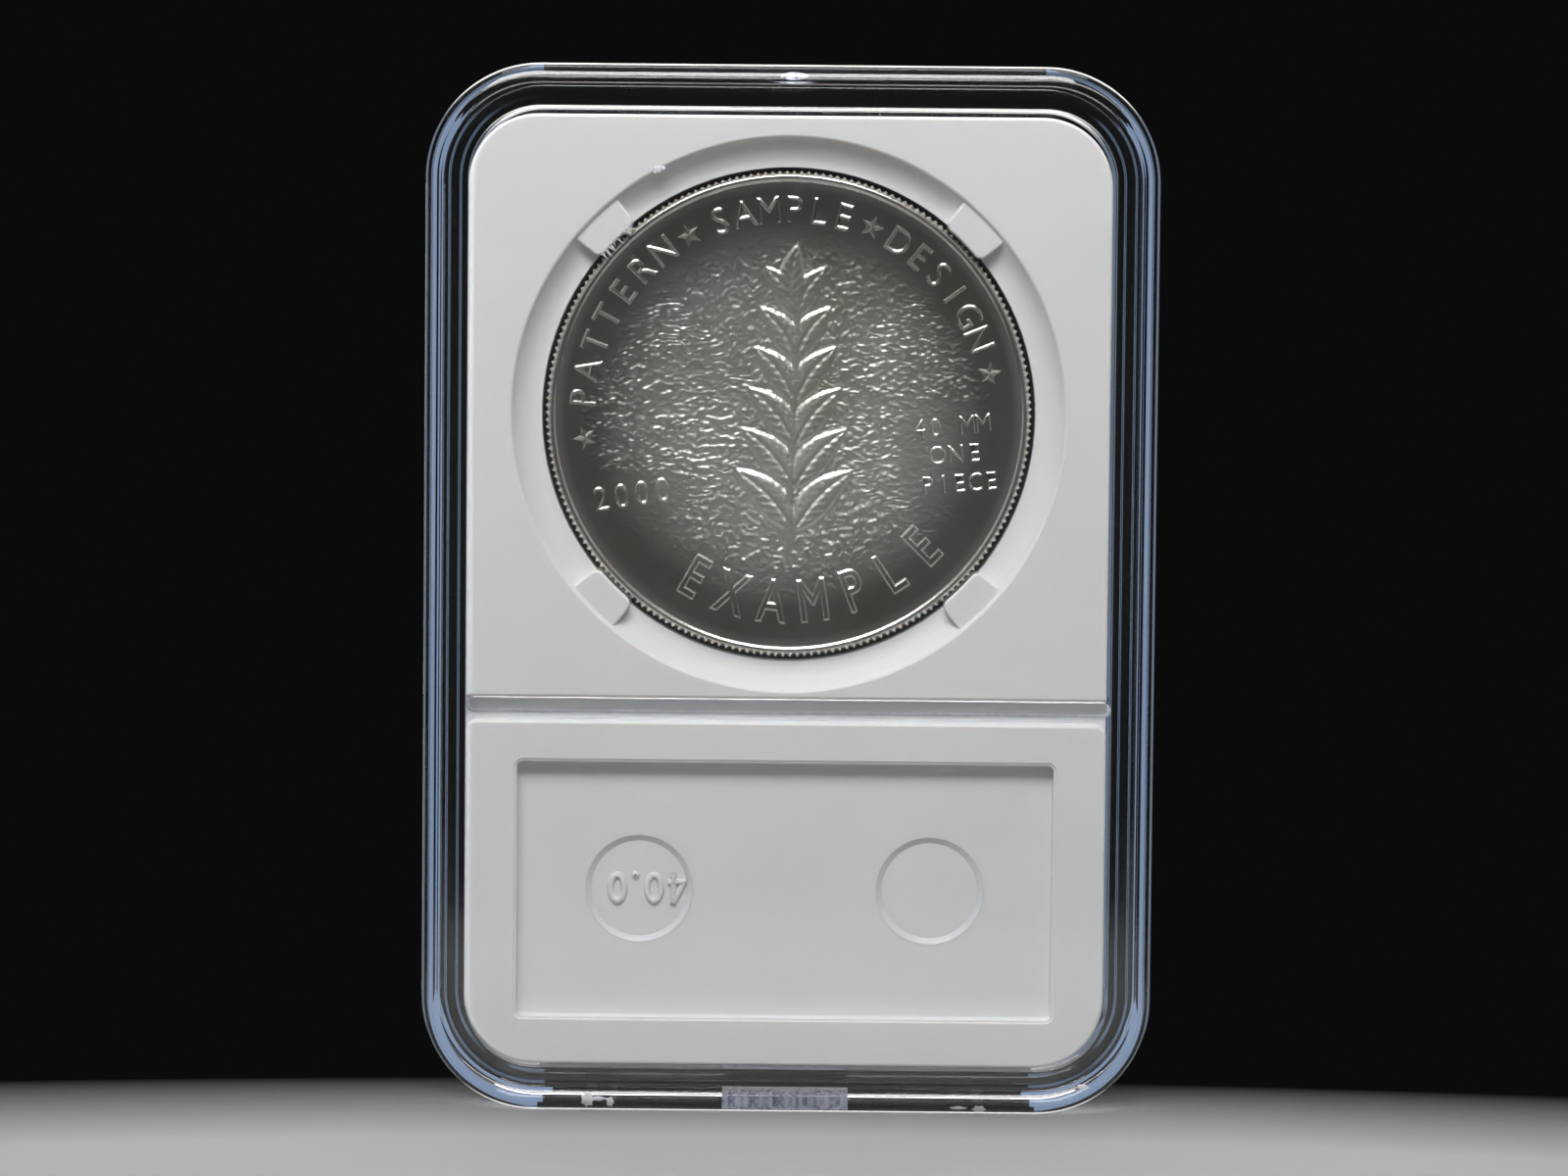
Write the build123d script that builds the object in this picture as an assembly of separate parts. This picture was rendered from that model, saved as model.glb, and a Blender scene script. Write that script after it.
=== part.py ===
from build123d import *
import os
from math import cos, radians, sin

# Coin slab: two clear shells that close round a white insert, which holds one coin.
# Millimetres. X runs across the slab, Z is up, and Y runs from the viewed face (-Y) to the
# hidden face (+Y). The origin is the middle of the bottom edge that the slab stands on.

# ---- driving dimensions ----
slab_width = 60.0
slab_height = 86.0
slab_thickness = 8.4
corner_radius = 9.4

wall = 3.4                 # clear wall from the outline in to the cavity
rim_width = 1.65           # raised stacking rim round each face
rim_height = 0.7           # how far the rim stands above the window
rim_round = 0.9            # outer shoulder of the rim
window = 1.1               # thickness of the clear window
parting_y = 0.5            # plane where the two shells meet
parting_gap = 0.04
edge_break = 0.12          # small chamfer on the parting edges and the rim's inner edge

tongue_inset = 1.75        # tongue on the front shell, groove in the rear shell
tongue_width = 0.8
tongue_height = 1.0
tongue_gap = 0.12

notch_width = 10.4         # opening notches, middle of the top and bottom edges
notch_depth = 1.4
notch_height = 1.6

insert_width = 52.8
insert_height = 78.2
insert_thickness = 4.6
insert_radius = 5.8
insert_round = 0.3
insert_x = -0.2            # the insert lies a little off centre, as far as its play allows
insert_drop = 0.2

groove_z = 33.1            # clear rib of the shell in the insert's groove
groove_width = 1.9
groove_depth = 1.7
rib_width = 1.2
rib_depth = 1.5
rib_z = 33.4
pad_round = 1.0            # corner of the label pad beside the groove

coin_z = 57.45
coin_radius = 20.0
coin_edge = 2.8
coin_dish = 0.85           # how far the viewed face is hollowed
coin_dome = 0.6            # how far the hidden face bulges
coin_rim = 0.9
coin_rim_step = 0.15
coin_bevel = 0.25

hole_radius = 20.3
ring_radius = 22.75
ring_depth = 1.5
ring_sag = 0.45            # hollow of the ring's curved slope
prong_radius = 20.06
prong_inner_width = 3.9
prong_outer_width = 4.9
prong_sink = 0.35          # prong tops lie this far below the insert's face
prong_corner = 0.7         # rounding of the prong's two corners at the coin
soft_edge = 0.22           # rounding where moulded faces meet

recess_width = 44.2
recess_height = 21.2
recess_depth = 1.2
recess_z = 18.2
disc_diameter = 8.8
disc_depth = 0.25
disc_x = 12.0

label_width = 43.4
label_height = 20.4
label_thickness = 0.35
label_gap = 0.05

glyph_width = 1.5
glyph_height = 2.5
glyph_stroke = 0.34
glyph_pitch = 1.9
glyph_rise = 0.2

# ---- derived places ----
middle_z = slab_height / 2
rim_front = -slab_thickness / 2
window_front = rim_front + rim_height
window_inner = window_front + window
insert_front = -insert_thickness / 2
insert_z = middle_z - insert_drop
recess_floor = insert_front + recess_depth
far = 20.0                 # a length that reaches past everything


# ---- helpers ----
def face_plane(y, x=0.0, z=middle_z):
    """Sketch plane facing the viewer: local x is +X, local y is +Z, and it extrudes towards -Y."""
    return Plane(origin=(x, y, z), x_dir=(1, 0, 0), z_dir=(0, -1, 0))


def plate(width, height, radius, y_front, y_back, x=0.0, z=middle_z):
    """Upright plate with rounded corners between two depths."""
    outline = face_plane(y_back, x, z) * RectangleRounded(width, height, radius)
    return extrude(outline, amount=y_back - y_front)


def inset_plate(inset, y_front, y_back):
    """Plate that follows the slab's outline, a given distance inside it."""
    return plate(slab_width - 2 * inset, slab_height - 2 * inset, corner_radius - inset, y_front, y_back)


def bar(width, height, y_front, y_back, x, z):
    """Upright block between two depths."""
    return extrude(face_plane(y_back, x, z) * Rectangle(width, height), amount=y_back - y_front)


def disc(radius, y_front, y_back, x, z):
    return extrude(face_plane(y_back, x, z) * Circle(radius), amount=y_back - y_front)


def edges_at(solid, y):
    """Edges that lie wholly in the plane at depth y."""
    return solid.edges().filter_by_position(Axis.Y, y - 0.001, y + 0.001)


def turned(profile, x, z):
    """Solid of revolution about the line along Y through (x, z). The profile is drawn in (r, y)."""
    return Pos(x, 0, z) * revolve(profile, axis=Axis.Y)


def mirrored(solid):
    """The same solid on the other face of the slab."""
    return mirror(solid, about=Plane.XZ)


# ---- clear shells ----
def half_shell(y_parting):
    """One moulded half, viewed side, open towards +Y: rim, window, wall and rib."""
    outer = inset_plate(0, rim_front, y_parting)
    outer = fillet(edges_at(outer, rim_front), rim_round)
    outer = chamfer(edges_at(outer, y_parting), edge_break)
    rim_well = inset_plate(rim_width, rim_front - 1, window_front)
    cavity = inset_plate(wall, window_inner, y_parting + 1)
    rib = bar(slab_width - 2 * wall + 0.4, rib_width, window_inner - 0.2, window_inner + rib_depth, 0, rib_z)
    return outer - rim_well - cavity + rib


def notch(z):
    """Rectangular opening notch across the parting line, cut in from the edge at height z."""
    return bar(notch_width, 2 * notch_depth, parting_y - notch_height / 2,
               parting_y + notch_height / 2, 0, z)


def thumb_notch(z):
    """Scooped opening notch: a flat disc's edge cut into the top edge."""
    scoop_radius = ((notch_width / 2) ** 2 + notch_depth ** 2) / (2 * notch_depth)
    return disc(scoop_radius, parting_y - notch_height / 2, parting_y + notch_height / 2,
                0, z - notch_depth + scoop_radius)


def ring_between(inset_out, inset_in, y_front, y_back):
    return inset_plate(inset_out, y_front, y_back) - inset_plate(inset_in, y_front, y_back)


def make_front_shell():
    tongue = ring_between(tongue_inset, tongue_inset + tongue_width,
                          parting_y - parting_gap - 0.2, parting_y + tongue_height)
    shell = half_shell(parting_y - parting_gap / 2) + tongue
    return shell - notch(0) - thumb_notch(slab_height)


def make_rear_shell():
    groove = ring_between(tongue_inset - tongue_gap, tongue_inset + tongue_width + tongue_gap,
                          parting_y - 1, parting_y + tongue_height + tongue_gap)
    shell = mirrored(half_shell(-(parting_y + parting_gap / 2)))
    return shell - groove - notch(0) - thumb_notch(slab_height)


# ---- white insert ----
def seat_cut():
    """Curved ring slope round the coin hole, viewed side."""
    floor_y = insert_front + ring_depth
    run = ring_radius - hole_radius
    chord = (run ** 2 + ring_depth ** 2) ** 0.5
    middle = ((ring_radius + hole_radius) / 2 + ring_sag * ring_depth / chord,
              (insert_front + floor_y) / 2 + ring_sag * run / chord)
    inner = hole_radius - 1
    slope = ThreePointArc((ring_radius, insert_front), middle, (hole_radius, floor_y))
    rest = Polyline((hole_radius, floor_y), (inner, floor_y), (inner, insert_front - 1),
                    (ring_radius, insert_front - 1), (ring_radius, insert_front))
    return turned(make_face([slope, rest]), insert_x, coin_z)


def prong(angle):
    """Tapered finger from the ring's wall in to the coin's edge, with soft edges."""
    outer_r = ring_radius + 0.4
    points = [(prong_radius - 1, -prong_inner_width / 2), (outer_r, -prong_outer_width / 2),
              (outer_r, prong_outer_width / 2), (prong_radius - 1, prong_inner_width / 2)]
    outline = make_face(Polyline(*points, close=True)) - Circle(prong_radius)
    tip = outline.vertices().sort_by(Axis.X)[:2]
    outline = fillet(tip, prong_corner)
    back = -insert_front - prong_sink
    plane = face_plane(back, insert_x, coin_z)
    finger = extrude(plane * Rot(0, 0, angle) * outline, amount=2 * back)
    return fillet(edges_at(finger, back) + edges_at(finger, -back), soft_edge)


def figure_four():
    """A plain stroke-built 4, centred on the origin."""
    w, h, s = glyph_width, glyph_height, glyph_stroke
    upright = Pos(w * 0.2, 0) * Rectangle(s, h)
    crossbar = Pos(0, -h * 0.2) * Rectangle(w, s)
    slant = make_face(Polyline((w * 0.2 - s / 2, h / 2), (w * 0.2 + s / 2, h / 2),
                               (-w / 2 + s, -h * 0.2), (-w / 2, -h * 0.2), close=True))
    return upright + crossbar + slant


def figure_nought():
    """A plain oval 0, centred on the origin."""
    outside = Ellipse(glyph_width / 2, glyph_height / 2)
    return outside - Ellipse(glyph_width / 2 - glyph_stroke, glyph_height / 2 - glyph_stroke)


def size_mark():
    """The raised size figure 40.0 in the left disc, read with the slab turned end over end."""
    point = Pos(0, -glyph_height / 2 + glyph_stroke / 2) * Circle(glyph_stroke * 0.6)
    glyphs = [(-1.65, figure_four()), (-0.65, figure_nought()), (0.15, point), (0.95, figure_nought())]
    plane = face_plane(recess_floor + disc_depth, insert_x - disc_x, recess_z)
    mark = [extrude(plane * Rot(0, 0, 180) * Pos(place * glyph_pitch, 0) * glyph, amount=glyph_rise)
            for place, glyph in glyphs]
    return mark


def label_recess():
    """What is cut away for the label, viewed side, with a soft lip and a soft corner at its floor."""
    pocket = plate(recess_width, recess_height, 0.5, insert_front - 1, recess_floor, insert_x, recess_z)
    pocket = fillet(edges_at(pocket, recess_floor), soft_edge)
    lip = plate(recess_width + 2 * soft_edge, recess_height + 2 * soft_edge, 0.5 + soft_edge,
                insert_front - 1, insert_front, insert_x, recess_z)
    flare = chamfer(edges_at(lip, insert_front), soft_edge / 2)
    return pocket + Pos(0, soft_edge / 2, 0) * flare


def make_insert():
    body = plate(insert_width, insert_height, insert_radius, insert_front, -insert_front, insert_x, insert_z)
    for side in (1, -1):
        y_open = side * insert_front
        y_floor = side * (insert_front + groove_depth)
        body -= bar(2 * slab_width, groove_width, min(y_open, y_floor), max(y_open, y_floor), 0, groove_z)
    pad_top = groove_z - groove_width / 2
    corners = body.edges().filter_by(Axis.Y).filter_by(
        lambda e: abs(e.center().Z - pad_top) < 0.01 and abs(e.center().X - insert_x) > insert_width / 2 - 0.1)
    body = fillet(corners, pad_round)
    body = fillet(edges_at(body, insert_front) + edges_at(body, -insert_front), insert_round)

    body -= disc(hole_radius, -far, far, insert_x, coin_z)
    body -= seat_cut()
    body -= mirrored(seat_cut())
    mouths = body.edges().filter_by(GeomType.CIRCLE).filter_by(lambda e: abs(e.radius - ring_radius) < 0.01)
    body = fillet(mouths, soft_edge)
    for angle in (45, 135, 225, 315):
        body += prong(angle)

    body -= label_recess()
    body -= mirrored(label_recess())
    for side in (-1, 1):
        body -= disc(disc_diameter / 2, insert_front, recess_floor + disc_depth,
                     insert_x + side * disc_x, recess_z)
    for glyph in size_mark():
        body += glyph
    return body


# ---- coin and label ----
def cap(radius, rise, y_base):
    """Shallow dome on the coin's centre line that rises towards +Y from a flat base at y_base."""
    ball_radius = (radius ** 2 + rise ** 2) / (2 * rise)
    ball = Pos(insert_x, y_base + rise - ball_radius, coin_z) * Sphere(ball_radius)
    return disc(radius, y_base, y_base + 2 * rise, insert_x, coin_z) & ball


def make_coin():
    """Round coin, hollowed on the viewed face and domed on the hidden one."""
    half = coin_edge / 2
    field_radius = coin_radius - coin_rim
    coin = disc(coin_radius, -half, half, insert_x, coin_z)
    coin = chamfer(coin.edges().filter_by(GeomType.CIRCLE), coin_bevel)
    field = half - coin_rim_step
    coin -= disc(field_radius, -far, -field, insert_x, coin_z)
    coin -= disc(field_radius, field, far, insert_x, coin_z)
    coin -= cap(field_radius, coin_dish, -field)
    coin += cap(field_radius, coin_dome, field)
    return coin


def make_label():
    """Blank card in the recess of the hidden face."""
    front = -recess_floor + label_gap
    return plate(label_width, label_height, 0.6, front, front + label_thickness, insert_x, recess_z)


parts = {
    "front_shell": make_front_shell(),
    "rear_shell": make_rear_shell(),
    "coin_insert": make_insert(),
    "coin": make_coin(),
    "label_card": make_label(),
}

os.makedirs("parts", exist_ok=True)
for name, shape in parts.items():
    export_step(shape, f"parts/{name}.step")
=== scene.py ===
from math import cos, pi, radians, sin, sqrt

import bmesh
import bpy
import numpy as np
from mathutils import Matrix, Vector


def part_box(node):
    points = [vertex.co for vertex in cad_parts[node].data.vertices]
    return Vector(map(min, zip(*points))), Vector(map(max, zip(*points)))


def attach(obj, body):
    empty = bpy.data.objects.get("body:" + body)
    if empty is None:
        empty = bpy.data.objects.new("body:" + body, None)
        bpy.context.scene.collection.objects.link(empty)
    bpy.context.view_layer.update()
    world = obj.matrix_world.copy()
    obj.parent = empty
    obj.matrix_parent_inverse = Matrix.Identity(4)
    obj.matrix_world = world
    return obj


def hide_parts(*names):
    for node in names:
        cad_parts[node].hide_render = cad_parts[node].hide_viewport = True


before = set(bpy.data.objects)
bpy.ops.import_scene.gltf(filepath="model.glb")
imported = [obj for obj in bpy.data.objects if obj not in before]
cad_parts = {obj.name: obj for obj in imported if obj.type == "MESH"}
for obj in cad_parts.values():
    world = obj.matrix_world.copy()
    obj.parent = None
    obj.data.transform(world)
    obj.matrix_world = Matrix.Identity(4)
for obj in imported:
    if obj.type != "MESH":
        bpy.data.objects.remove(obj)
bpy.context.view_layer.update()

# Sizes below are millimetres in the part's frame: X across, Z up, viewed face towards -Y.
MM = 0.001
shell_low, shell_high = (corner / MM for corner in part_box("front_shell"))
insert_low, insert_high = (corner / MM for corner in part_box("coin_insert"))
coin_low, coin_high = (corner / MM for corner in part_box("coin"))

slab_width = shell_high.x - shell_low.x
slab_height = shell_high.z - shell_low.z
middle_z = (shell_high.z + shell_low.z) / 2
corner_radius = 9.4
wall = 3.4
rim_width = 1.65
rim_height = 0.7
rim_round = 1.4
window = 1.1
rim_front = shell_low.y
window_front = rim_front + rim_height
window_inner = window_front + window
parting_y = 0.5
parting_gap = 0.04
tongue_inset = 1.75
tongue_width = 0.8
tongue_height = 1.0
tongue_gap = 0.12
rib_z = 33.4
rib_width = 1.2
rib_depth = 1.5
rib_bevel = 0.17
notch_width = 10.4
notch_depth = 1.4
notch_height = 1.6

recess_z = 18.2
recess_depth = 1.2
disc_x = 12.0
disc_radius = 4.4
disc_depth = 0.25

coin_centre = (coin_low + coin_high) / 2
coin_radius = (coin_high.x - coin_low.x) / 2
coin_edge = 2.8
coin_rim = 0.9
coin_rim_step = 0.15
coin_dish = 0.85
coin_dome = 0.6
relief_root = 0.08

burr_radius = 22.72
burr_angle = 118.5
shred_radius = 20.25
shred_angles = (130.5, 139.5)
shred_thickness = 0.14


# ---------------------------------------------------------------- mesh helpers
def new_object(name, mesh, materials, body=None, smooth=35):
    """Puts a mesh in the scene with its materials, smooth shading below an edge angle, and its body."""
    for material in materials:
        mesh.materials.append(material)
    mesh.polygons.foreach_set("use_smooth", [True] * len(mesh.polygons))
    mesh.set_sharp_from_angle(angle=radians(smooth))
    piece = bpy.data.objects.new(name, mesh)
    bpy.context.scene.collection.objects.link(piece)
    if body:
        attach(piece, body)
    return piece


def mesh_from(name, points, faces, face_slots=None):
    """Mesh from millimetre points, with outward normals."""
    mesh = bpy.data.meshes.new(name)
    mesh.from_pydata([tuple(c * MM for c in p) for p in points], [], faces)
    if face_slots:
        mesh.polygons.foreach_set("material_index", face_slots)
    fix = bmesh.new()
    fix.from_mesh(mesh)
    bmesh.ops.recalc_face_normals(fix, faces=fix.faces)
    fix.to_mesh(mesh)
    fix.free()
    return mesh


def rounded(profile, steps=5):
    """Rounds the corners of an open (inset, y) profile given as (inset, y, radius) points."""
    out = [tuple(profile[0][:2])]
    for before, here, after in zip(profile, profile[1:], profile[2:]):
        p, a, b = Vector(here[:2]), Vector(before[:2]), Vector(after[:2])
        if here[2] <= 0:
            out.append(tuple(p))
            continue
        into, away = (a - p).normalized(), (b - p).normalized()
        half = into.angle(away) / 2
        reach = here[2] / np.tan(half)
        centre = p + (into + away).normalized() * (here[2] / sin(half))
        start, end = p + into * reach - centre, p + away * reach - centre
        turn = start.angle_signed(end)
        for k in range(steps + 1):
            out.append(tuple(centre + Matrix.Rotation(-turn * k / steps, 2) @ start))
    out.append(tuple(profile[-1][:2]))
    return out


def outline(inset, corner_steps=28):
    """The slab's outline, moved in by inset, as (x, z) points."""
    radius = corner_radius - inset
    half_w, half_h = slab_width / 2 - inset - radius, slab_height / 2 - inset - radius
    points = []
    for corner, (sx, sz) in enumerate(((1, 1), (-1, 1), (-1, -1), (1, -1))):
        for step in range(corner_steps + 1):
            angle = radians(90 * corner + 90 * step / corner_steps)
            points.append((sx * half_w + radius * cos(angle), middle_z + sz * half_h + radius * sin(angle)))
    return points


def swept(name, profile, side, is_plain):
    """Closed shell: the profile swept round the outline, with a flat cap at each end.
    side is 1 for the viewed shell and -1 for its mirror image. Slot 1 is for the caps and for the rows
    whose two (inset, y) ends both answer is_plain."""
    loops = [[(x, side * y, z) for x, z in outline(inset)] for inset, y in profile]
    count = len(loops[0])
    points = [p for loop in loops for p in loop]
    faces, slots = [], []
    for row in range(len(loops) - 1):
        plain = is_plain(*profile[row]) and is_plain(*profile[row + 1])
        for k in range(count):
            following = (k + 1) % count
            faces.append((row * count + k, row * count + following,
                          (row + 1) * count + following, (row + 1) * count + k))
            slots.append(1 if plain else 0)
    faces += [tuple(range(count)), tuple(range((len(loops) - 1) * count, len(loops) * count))]
    slots += [1, 1]
    return mesh_from(name, points, faces, slots)


def prism(name, plan, y_low, y_high):
    """Closed prism of an (x, z) plan between two depths."""
    count = len(plan)
    points = [(x, y, z) for y in (y_low, y_high) for x, z in plan]
    faces = [tuple(range(count)), tuple(range(count, 2 * count))]
    faces += [(k, (k + 1) % count, count + (k + 1) % count, count + k) for k in range(count)]
    return mesh_from(name, points, faces)


def boolean(mesh, cutters, operation):
    """The mesh after adding or cutting away other meshes."""
    base = bpy.data.objects.new("base", mesh)
    bpy.context.scene.collection.objects.link(base)
    helpers = []
    for cutter in cutters:
        helper = bpy.data.objects.new("cutter", cutter)
        bpy.context.scene.collection.objects.link(helper)
        step = base.modifiers.new("step", "BOOLEAN")
        step.operation = operation
        step.solver = "EXACT"
        step.material_mode = "TRANSFER"
        step.object = helper
        helpers.append(helper)
    done = bpy.data.meshes.new_from_object(base.evaluated_get(bpy.context.evaluated_depsgraph_get()))
    for helper in [base, *helpers]:
        bpy.data.objects.remove(helper)
    return done


# ---------------------------------------------------------------- material helpers
class Nodes:
    """A material's node tree with short names for what the materials here need."""

    def __init__(self, name):
        self.material = bpy.data.materials.new(name)
        self.material.use_nodes = True
        self.tree = self.material.node_tree
        self.tree.nodes.clear()
        self.output = self.add("ShaderNodeOutputMaterial")
        self.place = self.add("ShaderNodeTexCoord").outputs["Object"]

    def add(self, kind, **settings):
        node = self.tree.nodes.new(kind)
        for key, value in settings.items():
            setattr(node, key, value)
        return node

    def link(self, source, target):
        self.tree.links.new(source, target)

    def noise(self, scale, detail=3.0, roughness=0.5, stretch=None):
        node = self.add("ShaderNodeTexNoise")
        node.inputs["Scale"].default_value = scale
        node.inputs["Detail"].default_value = detail
        node.inputs["Roughness"].default_value = roughness
        source = self.place
        if stretch:
            mapping = self.add("ShaderNodeMapping")
            mapping.inputs["Scale"].default_value = stretch
            self.link(self.place, mapping.inputs["Vector"])
            source = mapping.outputs["Vector"]
        self.link(source, node.inputs["Vector"])
        return node.outputs["Fac"]

    def ramp(self, source, low, high, from_low=0.0, from_high=1.0):
        """Maps a value to a range of numbers."""
        node = self.add("ShaderNodeMapRange")
        for key, value in zip(("From Min", "From Max", "To Min", "To Max"), (from_low, from_high, low, high)):
            node.inputs[key].default_value = value
        self.link(source, node.inputs["Value"])
        return node.outputs["Result"]

    def colours(self, source, stops):
        """Maps a value to colours; stops are (position, (r, g, b))."""
        node = self.add("ShaderNodeValToRGB")
        elements = node.color_ramp.elements
        for position, colour in stops[2:]:
            elements.new(position)
        for element, (position, colour) in zip(elements, stops):
            element.position = position
            element.color = (*colour, 1)
        self.link(source, node.inputs["Fac"])
        return node.outputs["Color"]

    def bump(self, source, distance, strength=1.0, under=None):
        node = self.add("ShaderNodeBump")
        node.inputs["Distance"].default_value = distance
        node.inputs["Strength"].default_value = strength
        self.link(source, node.inputs["Height"])
        if under:
            self.link(under, node.inputs["Normal"])
        return node.outputs["Normal"]

    def principled(self, **values):
        node = self.add("ShaderNodeBsdfPrincipled")
        for key, value in values.items():
            socket = node.inputs[key.replace("_", " ")]
            if isinstance(value, bpy.types.NodeSocket):
                self.link(value, socket)
            else:
                socket.default_value = value
        return node.outputs["BSDF"]

    def lets_light_by(self, shader, tint):
        """The shader, except that light on its way to other surfaces goes straight through, tinted."""
        straight = self.add("ShaderNodeBsdfTransparent")
        straight.inputs["Color"].default_value = tint
        mix = self.add("ShaderNodeMixShader")
        self.link(self.add("ShaderNodeLightPath").outputs["Is Shadow Ray"], mix.inputs["Fac"])
        self.link(shader, mix.inputs[1])
        self.link(straight.outputs["BSDF"], mix.inputs[2])
        return mix.outputs["Shader"]

    def done(self, shader):
        self.link(shader, self.output.inputs["Surface"])
        return self.material


def clear_plastic():
    """Thick clear styrene of the rims, walls and rib: bends light, with faint moulding ripples."""
    n = Nodes("clear_plastic")
    ripple = n.bump(n.noise(150, 2.0), 0.00001, 0.15)
    fine = n.bump(n.noise(2600, 3.0), 0.0000008, 0.2, ripple)
    shader = n.principled(Base_Color=(0.95, 0.958, 0.975, 1), Roughness=n.ramp(n.noise(900), 0.01, 0.04),
                          IOR=1.58, Transmission_Weight=1.0, Normal=fine)
    return n.done(n.lets_light_by(shader, (0.80, 0.83, 0.87, 1)))


def window_plastic():
    """Thin flat window: light goes straight through, and the surface mirrors as styrene does."""
    n = Nodes("window_plastic")
    through = n.add("ShaderNodeBsdfTransparent")
    through.inputs["Color"].default_value = (0.99, 0.992, 0.994, 1)
    mirror = n.add("ShaderNodeBsdfGlossy")
    scratch = n.noise(60, 6.0, 0.7, (1, 1, 14))
    n.link(n.ramp(scratch, 0.03, 0.16, 0.35, 0.75), mirror.inputs["Roughness"])
    wave = n.bump(n.noise(45, 2.0), 0.00002, 0.4)
    n.link(wave, mirror.inputs["Normal"])
    facing = n.add("ShaderNodeLayerWeight")
    facing.inputs["Blend"].default_value = 0.5
    grazing = n.add("ShaderNodeMath", operation="POWER")
    n.link(facing.outputs["Facing"], grazing.inputs[0])
    grazing.inputs[1].default_value = 5.0
    mix = n.add("ShaderNodeMixShader")
    n.link(n.ramp(grazing.outputs["Value"], 0.045, 1.0), mix.inputs["Fac"])
    n.link(through.outputs["BSDF"], mix.inputs[1])
    n.link(mirror.outputs["BSDF"], mix.inputs[2])
    return n.done(mix.outputs["Shader"])


def frosted_plastic():
    """Rough trimmed plastic of the opening notches: a pale speckle, and bands across their depth that are
    painted light and shade.
    """
    n = Nodes("frosted_plastic")
    grit = n.bump(n.noise(5200, 6.0, 0.7), 0.00006, 0.9)
    torn = n.noise(4200, 5.0, 0.7, (0.6, 1, 1))
    split = n.add("ShaderNodeSeparateXYZ")
    n.link(n.place, split.inputs["Vector"])
    offset = n.add("ShaderNodeMath", operation="SUBTRACT")
    n.link(split.outputs["Z"], offset.inputs[0])
    offset.inputs[1].default_value = middle_z * MM
    away = n.add("ShaderNodeMath", operation="ABSOLUTE")
    n.link(offset.outputs["Value"], away.inputs[0])
    half = slab_height / 2 * MM
    outward = n.ramp(away.outputs["Value"], 0, 1, half - notch_depth * MM, half)
    # Painted light and shade: a bright line at the notch's inner end and a dark band about halfway out stand
    # in for how light falls on the notch's rough faces.
    band = n.colours(outward, [(0.0, (0.95, 0.96, 1.0)), (0.14, (0.62, 0.63, 0.72)),
                               (0.42, (0.60, 0.61, 0.70)), (0.52, (0.14, 0.15, 0.32)),
                               (0.64, (0.44, 0.44, 0.48)), (1.0, (0.56, 0.56, 0.62))])
    speckle = n.colours(torn, [(0.40, (0.30, 0.31, 0.40)), (0.50, (0.75, 0.76, 0.82)), (0.58, (1, 1, 1))])
    tint = n.add("ShaderNodeMix", data_type="RGBA", blend_type="MULTIPLY")
    tint.inputs["Factor"].default_value = 1.0
    n.link(band, tint.inputs["A"])
    n.link(speckle, tint.inputs["B"])
    shader = n.principled(Base_Color=tint.outputs["Result"], Roughness=n.ramp(torn, 0.25, 0.6, 0.3, 0.7),
                          IOR=1.58, Transmission_Weight=0.08, Normal=grit)
    return n.done(n.lets_light_by(shader, (0.6, 0.62, 0.68, 1)))


def milky_and_highlight_plastic():
    """Scuffed or stretched styrene that has turned white, for the flakes on the rim; also painted highlight,
    as pale strips on the rib's edges and one corner flake stand in for bright lines of light.
    """
    n = Nodes("milky_and_highlight_plastic")
    patch = n.noise(1400, 5.0, 0.7)
    colour = n.colours(patch, [(0.35, (0.76, 0.77, 0.83)), (0.6, (0.95, 0.95, 0.98))])
    shader = n.principled(Base_Color=colour, Roughness=n.ramp(patch, 0.25, 0.5), IOR=1.58,
                          Transmission_Weight=0.05, Normal=n.bump(n.noise(4200, 4.0), 0.00002, 0.6))
    return n.done(n.lets_light_by(shader, (0.5, 0.5, 0.52, 1)))


def white_moulding():
    """Satin white plastic of the insert: slightly translucent, with soft cloudy shading and fine grain."""
    n = Nodes("white_moulding")
    cloud = n.noise(70, 4.0, 0.6)
    colour = n.colours(cloud, [(0.3, (0.765, 0.77, 0.765)), (0.7, (0.80, 0.80, 0.795))])
    grain = n.bump(n.noise(3800, 4.0), 0.000004, 0.5)
    sink = n.bump(n.noise(160, 2.0), 0.00002, 0.35, grain)
    shader = n.principled(Base_Color=colour, Roughness=n.ramp(n.noise(500), 0.42, 0.56), IOR=1.49,
                          Subsurface_Weight=0.3, Subsurface_Radius=(1.0, 0.72, 0.5),
                          Subsurface_Scale=0.0006, Normal=sink)
    return n.done(shader)


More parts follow.
